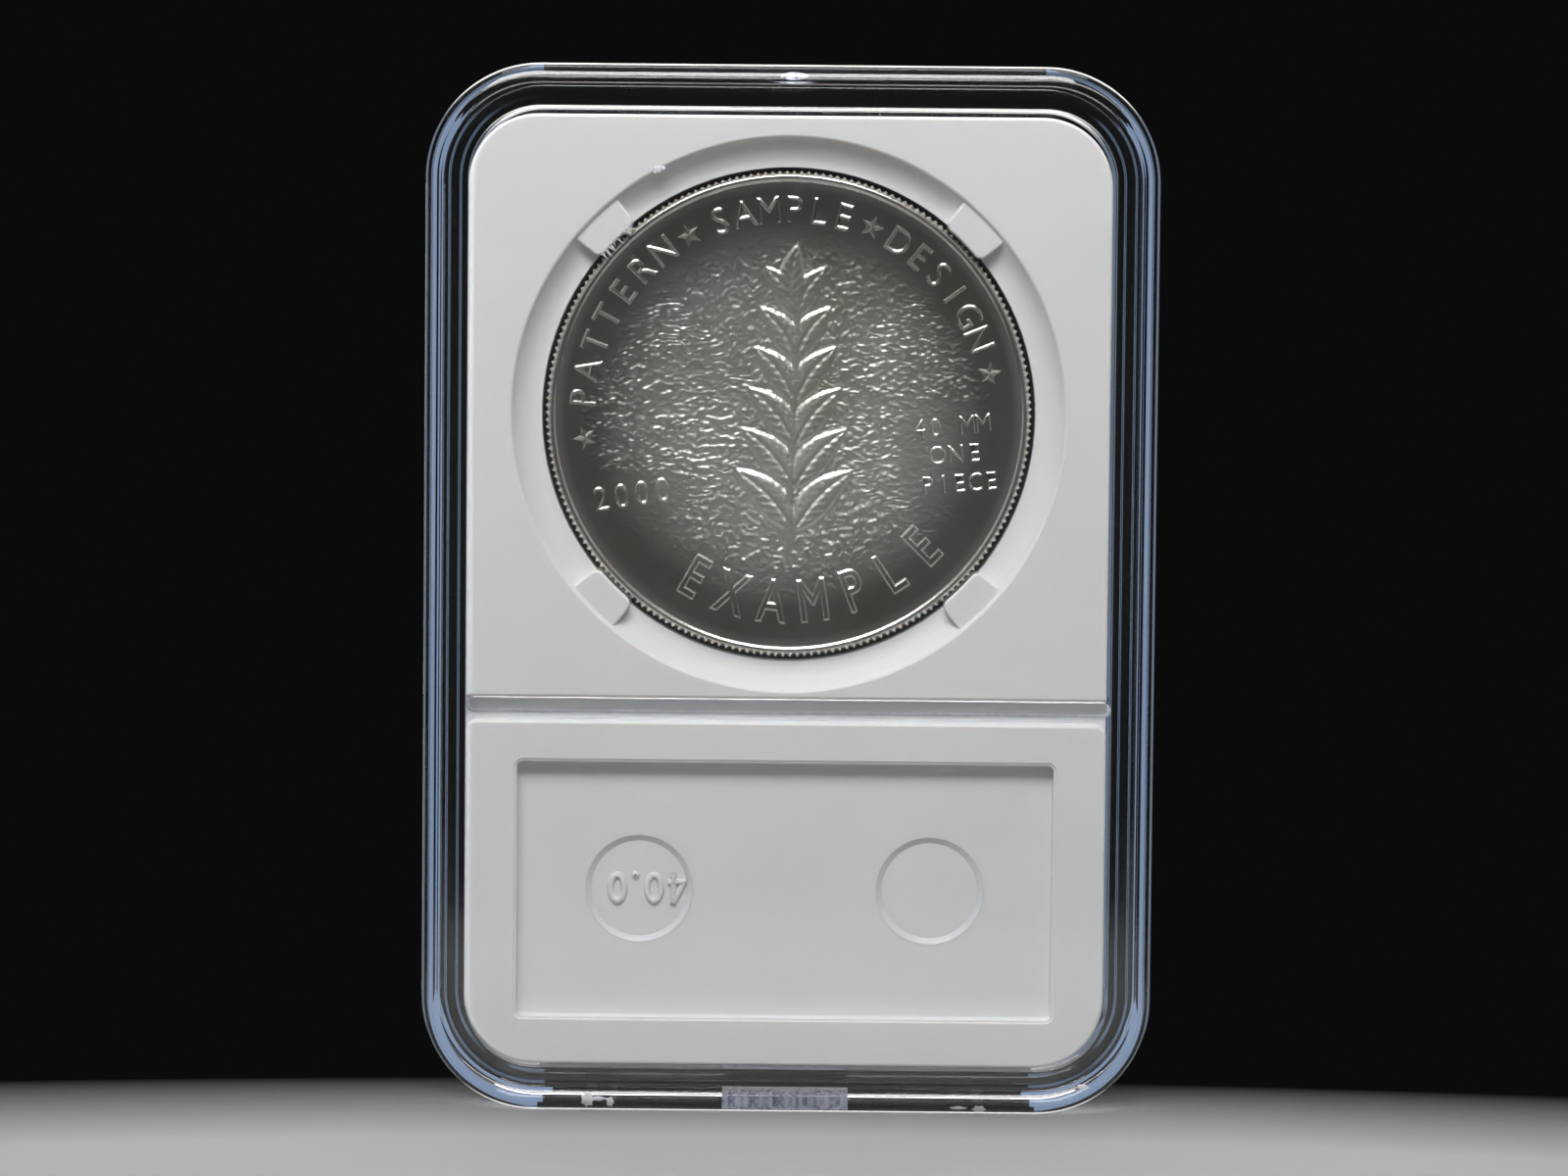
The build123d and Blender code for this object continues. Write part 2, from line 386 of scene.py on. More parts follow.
def struck_silver():
    """Silver-coloured struck metal: satin in the coin's middle, smoother towards the rim, with light toning
    and fine hairlines. Its colour is darkened in a ring near the rim: painted shade for the polished field's
    dark reflection."""
    n = Nodes("struck_silver")
    colour = n.colours(n.noise(110, 4.0, 0.6), [(0.3, (0.68, 0.645, 0.58)), (0.7, (0.82, 0.805, 0.77))])
    grain = n.bump(n.noise(5200, 3.0, 0.5), 0.000004, 0.5)
    hairline = n.bump(n.noise(500, 4.0, 0.6, (1, 1, 8)), 0.000003, 0.4, grain)
    from_centre = n.add("ShaderNodeVectorMath", operation="DISTANCE")
    n.link(n.place, from_centre.inputs[0])
    from_centre.inputs[1].default_value = coin_centre * MM
    leather = n.add("ShaderNodeMath", operation="MULTIPLY")
    n.link(n.noise(3000, 3.0, 0.55, (0.7, 1, 1)), leather.inputs[0])
    n.link(n.ramp(from_centre.outputs["Value"], 1.0, 0.1, 0.0125, 0.0172), leather.inputs[1])
    struck = n.bump(leather.outputs["Value"], 0.00006, 0.8, hairline)
    # Painted shade: the colour is darkened from 12 mm out, most between 16.8 and 18.4 mm from the middle,
    # standing in for the dark reflection of the polished field.
    painted_rim_shade = n.colours(n.ramp(from_centre.outputs["Value"], 0, 1, 0, 0.02),
                       [(0.60, (1, 1, 1)), (0.84, (0.66, 0.65, 0.63)),
                        (0.92, (0.66, 0.65, 0.63)), (0.95, (1, 1, 1))])
    toned_and_shaded = n.add("ShaderNodeVectorMath", operation="MULTIPLY")
    n.link(colour, toned_and_shaded.inputs[0])
    n.link(painted_rim_shade, toned_and_shaded.inputs[1])
    smooth, satin = [n.principled(Base_Color=toned_and_shaded.outputs["Vector"], Metallic=1.0,
                                  Roughness=n.ramp(n.noise(420, 4.0), low, high), Normal=struck)
                     for low, high in ((0.15, 0.21), (0.40, 0.47))]
    mix = n.add("ShaderNodeMixShader")
    n.link(n.ramp(from_centre.outputs["Value"], 0.84, 0.27, 0.009, 0.0160), mix.inputs["Fac"])
    n.link(smooth, mix.inputs[1])
    n.link(satin, mix.inputs[2])
    return n.done(mix.outputs["Shader"])


def label_paper():
    """Matt card: fine fibres and a faint mottle."""
    n = Nodes("label_paper")
    fibre = n.noise(2500, 6.0, 0.7, (1, 1, 3))
    colour = n.colours(n.noise(350, 5.0), [(0.3, (0.78, 0.775, 0.74)), (0.7, (0.84, 0.835, 0.81))])
    shader = n.principled(Base_Color=colour, Roughness=n.ramp(fibre, 0.75, 0.95),
                          Normal=n.bump(fibre, 0.00001, 0.5))
    return n.done(shader)


clear = clear_plastic()
pane = window_plastic()
frosted = frosted_plastic()
milky_and_highlight = milky_and_highlight_plastic()
white = white_moulding()
silver = struck_silver()
paper = label_paper()


# ---------------------------------------------------------------- clear shells
def shell_profile(parting, with_tongue):
    """Half section of a shell from its window's outer face, round the rim, to its window's inner face."""
    gap = 0 if with_tongue else tongue_gap
    reach = parting + tongue_height if with_tongue else parting - tongue_height - tongue_gap
    near, away = tongue_inset - gap, tongue_inset + tongue_width + gap
    return rounded([
        (wall + 0.5, window_front, 0), (rim_width, window_front, 0.06), (rim_width - 0.08, rim_front, 0.12),
        (0, rim_front, rim_round), (0, parting, 0.05), (near, parting, 0), (near, reach, 0),
        (away, reach, 0), (away, parting, 0), (wall, parting, 0.03), (wall, window_inner, 0.1),
        (wall + 0.5, window_inner, 0)])


def passes_straight(inset, y):
    """Whether a profile point belongs to the window, the rim's step or the closed joint of the halves."""
    in_window = inset >= wall + 0.3
    at_step = rim_width - 0.2 < inset < rim_width + 0.1 and y < window_inner
    in_joint = y > window_inner + 0.6 and 0.04 < inset < wall - 0.02
    return in_window or at_step or in_joint


def stadium(width, height, x, z, steps=10):
    """Plan of a bar with round ends."""
    radius, half = height / 2, width / 2 - height / 2
    points = []
    for end in (1, -1):
        for k in range(steps + 1):
            angle = radians(-90 + 180 * k / steps + (0 if end == 1 else 180))
            points.append((x + end * half + radius * cos(angle), z + radius * sin(angle)))
    return points


def arc_notch():
    """Plan of the scooped notch in the top edge."""
    radius = ((notch_width / 2) ** 2 + notch_depth ** 2) / (2 * notch_depth)
    centre = slab_height - notch_depth + radius
    turns = [2 * pi * k / 180 for k in range(180)]
    return [(radius * cos(a), centre + radius * sin(a)) for a in turns]


def box_plan(width, height, x, z):
    """Plan of a plain bar."""
    return [(x + sx * width / 2, z + sz * height / 2) for sx, sz in ((1, 1), (-1, 1), (-1, -1), (1, -1))]


def bevelled_bar(length, side):
    """The rib that stands in the insert's groove, with pale strips along its free edges: a painted highlight
    standing in for the bright line its clear edges throw.
    """
    levels = ((-0.3, 0.0), (rib_depth - 0.03, 0.0), (rib_depth, rib_bevel))
    points = []
    for up, inset in levels:
        plan = stadium(length - 2 * inset, rib_width - 2 * inset, 0, rib_z)
        points += [(x, side * (window_inner + up), z) for x, z in plan]
    count = len(points) // len(levels)
    faces = [tuple(range(count)), tuple(range(2 * count, 3 * count))]
    for row in (0, 1):
        faces += [(row * count + k, row * count + (k + 1) % count,
                   (row + 1) * count + (k + 1) % count, (row + 1) * count + k) for k in range(count)]
    # Slot 1, the bevel round the free edge, takes the pale material: a painted highlight.
    return mesh_from("rib", points, faces, [0] * (2 + count) + [1] * count)


def make_shell(name, node, body, side):
    """One clear half with its rib and frosted notches."""
    with_tongue = side == 1
    parting = side * parting_y - parting_gap / 2
    mesh = swept(name, shell_profile(parting, with_tongue), side, passes_straight)
    for material in (clear, pane, frosted):
        mesh.materials.append(material)
    rib = bevelled_bar(slab_width - 2 * wall - 0.2, side)
    notch_low, notch_high = parting_y - notch_height / 2, parting_y + notch_height / 2
    cuts = [prism("scoop", arc_notch(), notch_low, notch_high),
            prism("slot", box_plan(notch_width, 2 * notch_depth, 0, 0), notch_low, notch_high)]
    for cut in cuts:
        cut.materials.append(frosted)
    rib.materials.append(clear)
    rib.materials.append(milky_and_highlight)
    mesh = boolean(mesh, [rib], "UNION")
    mesh = boolean(mesh, cuts, "DIFFERENCE")
    piece = new_object(name, mesh, [], body, 40)
    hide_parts(node)
    return piece


make_shell("front_shell_clear", "front_shell", "front_case", 1)
make_shell("rear_shell_clear", "rear_shell", "rear_case", -1)


# ---------------------------------------------------------------- insert and label
def dress(node, material):
    """Gives a CAD node a procedural material."""
    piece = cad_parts[node]
    piece.data.materials.clear()
    piece.data.materials.append(material)


dress("coin_insert", white)
dress("label_card", paper)


# ---------------------------------------------------------------- coin
field_radius = coin_radius - coin_rim
half_edge = coin_edge / 2
field_y = half_edge - coin_rim_step
reed_count = 210
reed_depth = 0.2
figure_place = (-12.8, -6.8)
small_words_place = (13.8, -3.2)


class Face:
    """One face of the coin: side is 1 for the hollow viewed face, -1 for the domed hidden one."""

    def __init__(self, side):
        self.side = side
        self.bulge = coin_dish if side == 1 else -coin_dome

    def surface(self, x, z, height):
        """Depth of a point that stands height above the field, at (x, z) from the coin's centre as the
        viewer of that face sees it."""
        share = np.clip((x ** 2 + z ** 2) / field_radius ** 2, 0, 1)
        return self.side * (-field_y + self.bulge * (1 - share) - height)

    def place(self, x, z, height):
        """Point in the part's frame."""
        return (coin_centre.x + self.side * x, float(self.surface(x, z, height)), coin_centre.z + z)


def value_noise(x, z, cell, seed):
    """Smooth random field between -1 and 1 with features of about one cell."""
    table = np.random.RandomState(seed).uniform(-1, 1, (64, 64))
    u, v = x / cell, z / cell
    i, j = np.floor(u).astype(int), np.floor(v).astype(int)
    fu, fv = u - i, v - j
    fu, fv = fu * fu * (3 - 2 * fu), fv * fv * (3 - 2 * fv)
    low = table[i % 64, j % 64] * (1 - fu) + table[(i + 1) % 64, j % 64] * fu
    high = table[i % 64, (j + 1) % 64] * (1 - fu) + table[(i + 1) % 64, (j + 1) % 64] * fu
    return low * (1 - fv) + high * fv


def step_between(value, low, high):
    """Smooth rise from 0 at low to 1 at high."""
    t = np.clip((value - low) / (high - low), 0, 1)
    return t * t * (3 - 2 * t)


def pebbles(x, z):
    """Height of the stippled ground: short wavy ridges, longer across than up."""
    bend = 0.3 * value_noise(x, z, 1.1, 21)
    ridge = 1 - 2.6 * np.abs(value_noise(x * 0.6, z + bend, 0.31, 3))
    broken = step_between(value_noise(x, z, 0.6, 8), -0.8, -0.25)
    return 0.08 * np.clip(ridge, 0, 1) * broken + 0.022 * value_noise(x, z, 0.3, 5)


def ground(x, z):
    """Field height: stippled in the middle and low on the coin, polished near the rim and at the top, and
    weaker round the small legends and the lower one."""
    r = np.hypot(x, z)
    edge = 16.2 + 1.6 * np.cos(np.arctan2(z, x)) ** 2 - 1.4 * step_between(z, -1, 7)
    patchy = 0.65 + 0.35 * step_between(value_noise(x, z, 3.5, 11), -0.8, 0.0)
    quiet = 1.0
    for place, half_w, half_h in ((figure_place, 4.6, 2.0), (small_words_place, 4.8, 4.4)):
        spot = ((x - place[0]) / half_w) ** 4 + ((z - place[1]) / half_h) ** 4
        quiet = quiet * (0.15 + 0.85 * step_between(spot, 0.6, 1.4))
    quiet = quiet * (1 - 0.6 * step_between(r, 12.4, 13.4) * step_between(-z, 5, 7))
    return pebbles(x, z) * (1 - step_between(r, edge - 2.4, edge)) * patchy * quiet


def leaf(x, z, root_x, root_z, angle, length, width):
    """Height of one raised leaf with a bevelled edge, a middle vein and side veins."""
    dx, dz = x - root_x, z - root_z
    along = (dx * cos(angle) + dz * sin(angle)) / length
    across = dz * cos(angle) - dx * sin(angle)
    bow = across - 0.5 * np.sin(pi * np.clip(along, 0, 1)) * (1 if cos(angle) > 0 else -1)
    half = width * np.sin(pi * np.clip(along, 0, 1) ** 0.8) ** 0.9
    edge = half - np.abs(bow)
    dome = np.sqrt(np.clip(1 - (bow / np.maximum(half, 0.01)) ** 2, 0, 1))
    veins = 0.012 * np.cos(2 * pi * (along * length - 1.1 * np.abs(bow)) / 0.8)
    body = 0.10 + 0.13 * dome - 0.10 * np.exp(-(bow / 0.14) ** 2) + veins
    return np.where(edge > 0, step_between(edge, 0, 0.3) * body, 0)


def sprig(x, z):
    """Height of the plain leafy sprig in the middle of the viewed face."""
    stem = 0.35 + 0.35 * np.sin(z / 7)
    reach = (z > -12.5) & (z < 10)
    high = np.where(reach, 0.2 * (1 - step_between(np.abs(x - stem), 0.12, 0.42)), 0)
    for tier in range(6):
        root = -9.6 + 3.5 * tier
        spread = radians(46 + 2.5 * tier)
        size = 7.2 - 0.42 * tier
        for angle in (spread, pi - spread):
            high = np.maximum(high, leaf(x, z, 0.5, root, angle, size, 1.45 - 0.06 * tier))
    return np.maximum(high, leaf(x, z, 0.55, 8.0, radians(89), 6.2, 1.3))


def field_disc(name, face, height, cells=300):
    """Closed disc whose outer surface is the face's field with its fine relief, on an even grid."""
    line = np.linspace(-1, 1, cells + 1)
    u, v = np.meshgrid(line, line)
    wide = np.abs(u) > np.abs(v)
    r = np.where(wide, u, v)
    ratio = np.where(wide, v, u) / np.where(r == 0, 1, r)
    turn = np.where(wide, pi / 4 * ratio, pi / 2 - pi / 4 * ratio)
    x, z = field_radius * r * np.cos(turn), field_radius * r * np.sin(turn)
    y = face.surface(x, z, height(x, z))
    points = list(zip((coin_centre.x + face.side * x).ravel(), y.ravel(), (coin_centre.z + z).ravel()))
    row = cells + 1
    faces = [(a, a + 1, a + row + 1, a + row) for k in range(cells) for a in range(k * row, k * row + cells)]
    border = (list(range(cells)) + [k * row + cells for k in range(cells)]
              + [cells * row + k for k in range(cells, 0, -1)] + [k * row for k in range(cells, 0, -1)])
    base, count = len(points), len(border)
    points += [(points[k][0], 0.0, points[k][2]) for k in border]
    faces += [(border[k], border[(k + 1) % count], base + (k + 1) % count, base + k) for k in range(count)]
    faces.append(tuple(range(base, base + count)))
    return mesh_from(name, points, faces)


def coin_body():
    """Rounded rim and reeded edge, turned round the coin's axis as one closed ring. The half section gives
    radius, height over the coin's middle plane and the share of the reeds' full depth."""
    per_reed = 8
    segments = reed_count * per_reed
    inner = field_radius
    half = [(inner - 0.6, 0.0, 0), (inner - 0.6, field_y - 0.1, 0), (inner - 0.05, field_y - 0.08, 0),
            (inner + 0.04, field_y + 0.02, 0), (inner + 0.14, field_y + 0.09, 0),
            (inner + 0.26, half_edge - 0.015, 0), (inner + 0.36, half_edge, 0),
            (inner + 0.45, half_edge - 0.012, 0), (inner + 0.53, half_edge - 0.05, 0),
            (inner + 0.60, half_edge - 0.10, 0.45), (coin_radius - 0.1, half_edge - 0.3, 0.9),
            (coin_radius, half_edge - 0.5, 1)]
    profile = [(r, -y, depth) for r, y, depth in half]
    profile += [(r, y, depth) for r, y, depth in reversed(half[1:])]
    points = []
    for r, y, depth in profile:
        for k in range(segments):
            wave = 0.5 - 0.5 * cos(2 * pi * k / per_reed)
            reach = r - reed_depth * depth * wave ** 0.7
            turn = 2 * pi * k / segments
            points.append((coin_centre.x + reach * cos(turn), y, coin_centre.z + reach * sin(turn)))
    rows = len(profile)
    faces = []
    for row in range(rows):
        a, b = row * segments, ((row + 1) % rows) * segments
        faces += [(a + k, a + (k + 1) % segments, b + (k + 1) % segments, b + k) for k in range(segments)]
    return mesh_from("coin_rim", points, faces)


class Relief:
    """Raised lettering and lines on one face, gathered into one mesh."""

    def __init__(self, face):
        self.face = face
        self.points, self.faces = [], []

    def ribbon(self, line, width, height, bevel=0.14, closed=False):
        """Raised band along a centre line of (x, z) points."""
        count, start = len(line), len(self.points)
        half = width / 2
        foot = half + bevel
        offsets = ((-foot, -relief_root), (-half, height), (half, height), (foot, -relief_root))
        for k, (x, z) in enumerate(line):
            before = line[k - 1] if closed or k else line[k]
            after = line[(k + 1) % count] if closed or k < count - 1 else line[k]
            along = Vector((after[0] - before[0], after[1] - before[1])).normalized()
            for off, up in offsets:
                self.points.append(self.face.place(x - along.y * off, z + along.x * off, up))
        for k in range(count if closed else count - 1):
            a, b = start + 4 * k, start + 4 * ((k + 1) % count)
            self.faces += [(a + i, a + (i + 1) % 4, b + (i + 1) % 4, b + i) for i in range(4)]
        if not closed:
            self.faces += [tuple(end + i for i in range(4)) for end in (start, start + 4 * (count - 1))]

    def circle(self, x, z, radius, width, height, steps=120):
        self.ribbon([(x + radius * cos(2 * pi * k / steps), z + radius * sin(2 * pi * k / steps))
                     for k in range(steps)], width, height, closed=True)

    def star(self, radius, angle, size):
        """Five-pointed faceted star at a place round the face, given in degrees."""
        x, z = radius * cos(radians(angle)), radius * sin(radians(angle))
        start = len(self.points)
        for k in range(10):
            reach = size if k % 2 == 0 else size * 0.42
            turn = radians(angle) + k * pi / 5
            self.points.append(self.face.place(x + reach * cos(turn), z + reach * sin(turn), -0.03))
        self.points += [self.face.place(x, z, 0.3), self.face.place(x, z, -0.3)]
        for k in range(10):
            here, following = start + k, start + (k + 1) % 10
            self.faces += [(here, following, start + 10), (following, here, start + 11)]

    def glyph(self, character, x, z, size, turn=0.0, narrow=0.9, weight=0.0):
        """One raised character with sloping sides, centred on (x, z) and turned by an angle."""
        slope = 0.025 * size + 0.07
        text = bpy.data.curves.new("glyph", "FONT")
        text.body = character
        text.size = size
        text.align_x, text.align_y = "CENTER", "CENTER"
        text.bevel_depth = slope
        text.bevel_resolution = 0
        text.offset = weight - slope * 0.8
        text.resolution_u = 4
        holder = bpy.data.objects.new("glyph", text)
        bpy.context.scene.collection.objects.link(holder)
        mesh = bpy.data.meshes.new_from_object(holder.evaluated_get(bpy.context.evaluated_depsgraph_get()))
        bpy.data.objects.remove(holder)
        start = len(self.points)
        for vertex in mesh.vertices:
            across, up = vertex.co.x * narrow, vertex.co.y
            px = x + across * cos(turn) - up * sin(turn)
            pz = z + across * sin(turn) + up * cos(turn)
            self.points.append(self.face.place(px, pz, 0.6 * vertex.co.z))
        self.faces += [tuple(start + i for i in polygon.vertices) for polygon in mesh.polygons]
        bpy.data.meshes.remove(mesh)

    def arc(self, word, radius, middle, pitch, size, outward=True, narrow=0.9, weight=0.0):
        """A word round the face at a radius, centred on an angle in degrees, one pitch angle per letter."""
        for k, character in enumerate(word):
            place = k - (len(word) - 1) / 2
            angle = radians(middle - place * pitch if outward else middle + place * pitch)
            turn = angle - pi / 2 if outward else angle + pi / 2
            self.glyph(character, radius * cos(angle), radius * sin(angle), size, turn, narrow, weight)

    def line(self, word, x, z, pitch, size, turn=0.0):
        """A straight word centred on (x, z)."""
        for k, character in enumerate(word):
            along = (k - (len(word) - 1) / 2) * pitch
            self.glyph(character, x + along * cos(turn), z + along * sin(turn), size, turn)

    def finish(self, name):
        return new_object(name, mesh_from(name, self.points, self.faces), [silver], "coin_disc", 30)


def make_viewed_face():
    face = Face(1)
    field = field_disc("coin_front_field", face, lambda x, z: np.maximum(ground(x, z), sprig(x, z)))
    new_object("coin_front_field", field, [silver], "coin_disc", 80)
    relief = Relief(face)
    relief.arc("PATTERN", 16.8, 152, 8.0, 3.1)
    relief.arc("SAMPLE", 16.7, 92.5, 7.0, 3.1)
    relief.arc("DESIGN", 16.7, 40.0, 7.2, 3.1)
    for angle in (187, 119.5, 66.5, 12):
        relief.star(16.8, angle, 1.15)
    relief.arc("EXAMPLE", 15.6, 278, 12.6, 4.9, outward=False, narrow=0.7, weight=0.11)
    relief.line("2000", *figure_place, 1.7, 2.8, radians(9))
    relief.line("40 MM", 13.4, -0.9, 1.3, 2.1, radians(6))
    relief.line("ONE", *small_words_place, 1.5, 2.1, radians(5))
    relief.line("PIECE", 14.1, -5.6, 1.3, 2.1, radians(5))
    relief.finish("coin_front_relief")


def make_hidden_face():
    face = Face(-1)
    field = field_disc("coin_back_field", face, lambda x, z: 0.6 * ground(x, -z), 200)
    new_object("coin_back_field", field, [silver], "coin_disc", 80)
    relief = Relief(face)
    globe = 9.5
    relief.circle(0, 0, globe, 0.3, 0.12)
    relief.circle(0, 0, 12.6, 0.14, 0.08, 180)
    for share in (-0.66, -0.33, 0.0, 0.33, 0.66):
        half = globe * sqrt(1 - share ** 2)
        relief.ribbon([(half * (k / 12 - 1), globe * share) for k in range(25)], 0.14, 0.09)
        relief.ribbon([(globe * share * cos(radians(a)), globe * sin(radians(a))) for a in range(-90, 91, 6)],
                      0.14, 0.09)
    relief.arc("SAMPLE ROUND", 15.4, 90, 11.0, 3.6)
    relief.arc("40 MM", 15.4, 270, 11.0, 3.6, outward=False)
    for angle in (180, 0):
        relief.star(15.4, angle, 1.5)
    relief.finish("coin_back_relief")


def make_coin():
    rim = new_object("coin_rim", coin_body(), [silver], "coin_disc", 60)
    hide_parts("coin")
    make_viewed_face()
    make_hidden_face()


make_coin()


# ---------------------------------------------------------------- small moulding details and a painted highlight
insert_x = (insert_low.x + insert_high.x) / 2
insert_face = insert_low.y
disc_floor = insert_face + recess_depth + disc_depth


def soft_line(name, lines, radius):
    """Raised soft-edged lines of the insert as one piece; lines are (points, is_loop) in millimetres."""
    curve = bpy.data.curves.new(name, "CURVE")
    curve.dimensions = "3D"
    curve.bevel_depth = radius * MM
    curve.bevel_resolution = 3
    curve.use_fill_caps = True
    for points, is_loop in lines:
        spline = curve.splines.new("POLY")
        spline.points.add(len(points) - 1)
        for target, point in zip(spline.points, points):
            target.co = (*(c * MM for c in point), 1)
        spline.use_cyclic_u = is_loop
    holder = bpy.data.objects.new("holder", curve)
    bpy.context.scene.collection.objects.link(holder)
    mesh = bpy.data.meshes.new_from_object(holder.evaluated_get(bpy.context.evaluated_depsgraph_get()))
    bpy.data.objects.remove(holder)
    mesh.materials.clear()
    piece = new_object(name, mesh, [white], "insert", 60)


def make_size_mark():
    """The raised size figure 40.0, soft as moulded strokes are, read with the slab turned end over end."""
    width, height, stroke_width, pitch = 1.5, 2.5, 0.34, 1.9
    across, up, dot_radius = (width - stroke_width) / 2, (height - stroke_width) / 2, 0.07
    oval = [(across * cos(2 * pi * k / 24), up * sin(2 * pi * k / 24)) for k in range(24)]
    dot = [(dot_radius * cos(2 * pi * k / 8), -up + dot_radius * sin(2 * pi * k / 8)) for k in range(8)]
    stem_x, bar_z = 0.2 * width, -0.2 * height
    four = [([(stem_x, height / 2), (stem_x, -height / 2)], False),
            ([(-width / 2, bar_z), (width / 2, bar_z)], False),
            ([(stem_x, height / 2), (-across, bar_z)], False)]
    figure = ((-1.65, four), (-0.65, [(oval, True)]), (0.15, [(dot, True)]), (0.95, [(oval, True)]))
    lines = []
    for place, strokes in figure:
        for stroke, is_loop in strokes:
            lines.append(([(insert_x - disc_x - (x + place * pitch), disc_floor + 0.03, recess_z - z)
                           for x, z in stroke], is_loop))
    soft_line("size_mark", lines, 0.28)


def make_disc_slopes():
    """Soft slope round the inside of each sunk disc; the profile gives steps out from the disc's edge and
    depths below the recess floor."""
    profile = [(0.05, -0.02), (-0.04, 0.02), (-0.16, 0.11), (-0.30, 0.19), (-0.44, 0.24), (-0.50, 0.30),
               (0.05, 0.30)]
    steps = 96
    points, faces = [], []
    for side in (-1, 1):
        start = len(points)
        for out, deep in profile:
            for k in range(steps):
                turn = 2 * pi * k / steps
                reach = disc_radius + out
                x, z = insert_x + side * disc_x + reach * cos(turn), recess_z + reach * sin(turn)
                points.append((x, insert_face + recess_depth + deep, z))
        for row in range(len(profile)):
            a, b = start + row * steps, start + (row + 1) % len(profile) * steps
            faces += [(a + k, a + (k + 1) % steps, b + (k + 1) % steps, b + k) for k in range(steps)]
    piece = new_object("disc_slopes", mesh_from("disc_slopes", points, faces), [white], "insert", 60)


def blob(points, faces, centre, reach, out, lobes, wobble, depth_at, rng):
    """Adds a closed flat lump to a mesh: star-like outline, domed front, sunk back."""
    steps, start = 6 * lobes, len(points)
    edge = [1 - wobble * (0.5 - 0.5 * cos(2 * pi * k / 6)) * rng.uniform(0.6, 1.2) for k in range(steps)]
    for share, rise in ((1.0, -0.04), (1.0, 0.35), (0.72, 0.85)):
        for k in range(steps):
            x = centre[0] + reach[0] * edge[k] * share * cos(2 * pi * k / steps)
            z = centre[1] + reach[1] * edge[k] * share * sin(2 * pi * k / steps)
            points.append((x, depth_at(x, z) + (0.06 if rise < 0 else 0) - out * max(rise, 0), z))
    points.append((centre[0], depth_at(*centre) - out, centre[1]))
    top = len(points) - 1
    faces.append(tuple(range(start, start + steps)))
    for row in (0, 1):
        a, b = start + row * steps, start + (row + 1) * steps
        faces += [(a + k, a + (k + 1) % steps, b + (k + 1) % steps, b + k) for k in range(steps)]
    faces += [(start + 2 * steps + k, start + 2 * steps + (k + 1) % steps, top) for k in range(steps)]


def rim_depth(x, z):
    """How deep the viewed rim's rounded front lies at a place on it."""
    half_w, half_h = slab_width / 2 - corner_radius, slab_height / 2 - corner_radius
    dx, dz = max(abs(x) - half_w, 0), max(abs(z - middle_z) - half_h, 0)
    inset = corner_radius - sqrt(dx ** 2 + dz ** 2)
    bend = min(max(rim_round - inset, 0), rim_round)
    return rim_front + rim_round - sqrt(rim_round ** 2 - bend ** 2)


def make_rim_flakes_and_glint():
    """Whitened flakes left on the lower rim where the two halves were closed, and one pale flake on the rim's
    lower right corner that is a painted highlight, standing in for a bright reflection there.
    """
    rng = np.random.RandomState(17)
    points, faces = [], []
    # The last entry, at (24.5, 2.55), is a painted highlight; the others are whitened flakes.
    for x, z, wide, high, lobes in ((-16.2, 1.06, 0.58, 0.68, 7), (-14.35, 0.86, 0.34, 0.46, 5),
                                    (-15.3, 1.14, 0.80, 0.20, 4), (14.3, 0.62, 0.75, 0.15, 4),
                                    (16.0, 0.52, 0.60, 0.34, 6), (24.5, 2.55, 0.42, 0.22, 5)):
        blob(points, faces, (x, z), (wide, high), 0.035, lobes, 0.28, rim_depth, rng)
    piece = new_object("rim_flakes_and_glint", mesh_from("rim_flakes_and_glint", points, faces), [milky_and_highlight], "front_case", 50)


def make_trimming_marks():
    """Burr on the ring's outer edge and ragged shreds at one prong's tip."""
    rng = np.random.RandomState(29)
    points, faces = [], []
    turn = radians(burr_angle)
    for along, inward, size in ((0.0, 0.0, 0.42), (0.4, 0.12, 0.26), (-0.32, 0.1, 0.2)):
        reach = burr_radius - inward
        centre = (coin_centre.x + reach * cos(turn) + along * sin(turn),
                  coin_centre.z + reach * sin(turn) - along * cos(turn))
        blob(points, faces, centre, (size, size * 0.8), 0.075, 5, 0.35, lambda x, z: insert_face - 0.01, rng)
    for k in range(14):
        angle = radians(rng.uniform(*shred_angles))
        length, lean, half = rng.uniform(0.4, 0.95), rng.uniform(-0.3, 0.3), rng.uniform(0.08, 0.16)
        depth = insert_face + rng.uniform(0.40, 0.62)
        base = Vector((cos(angle), sin(angle))) * shred_radius
        side = Vector((-sin(angle), cos(angle)))
        tip = base * ((shred_radius - length) / shred_radius) + side * lean
        left, right, thick = base + side * half, base - side * half, shred_thickness / 2
        start = len(points)
        for corner, deep in ((left, -thick), (left, thick), (right, thick), (right, -thick), (tip, 0.0)):
            points.append((coin_centre.x + corner.x, depth + deep, coin_centre.z + corner.y))
        faces.append(tuple(start + i for i in range(4)))
        faces += [(start + i, start + (i + 1) % 4, start + 4) for i in range(4)]
    piece = new_object("trimming_marks", mesh_from("trimming_marks", points, faces), [white], "insert", 50)


make_size_mark()
make_disc_slopes()
make_rim_flakes_and_glint()
make_trimming_marks()


# ---------------------------------------------------------------- stage, light and camera
# Lights and the floor's pale pool are placed in metres, as the camera is.
floor_radius = 900
# The pale pool is painted light: the floor fades to transparent between pool_fade's two distances, standing
# in for light falling off.
pool_centre = (0, -0.065, 0)
pool_squeeze = 0.45
pool_fade = (0.05, 0.08)
slab_middle = (0, 0, 0.045)
side_blue = (0.60, 0.75, 1.0)
panel_x, panel_y, panel_z = 0.0241, 0.03, 0.041


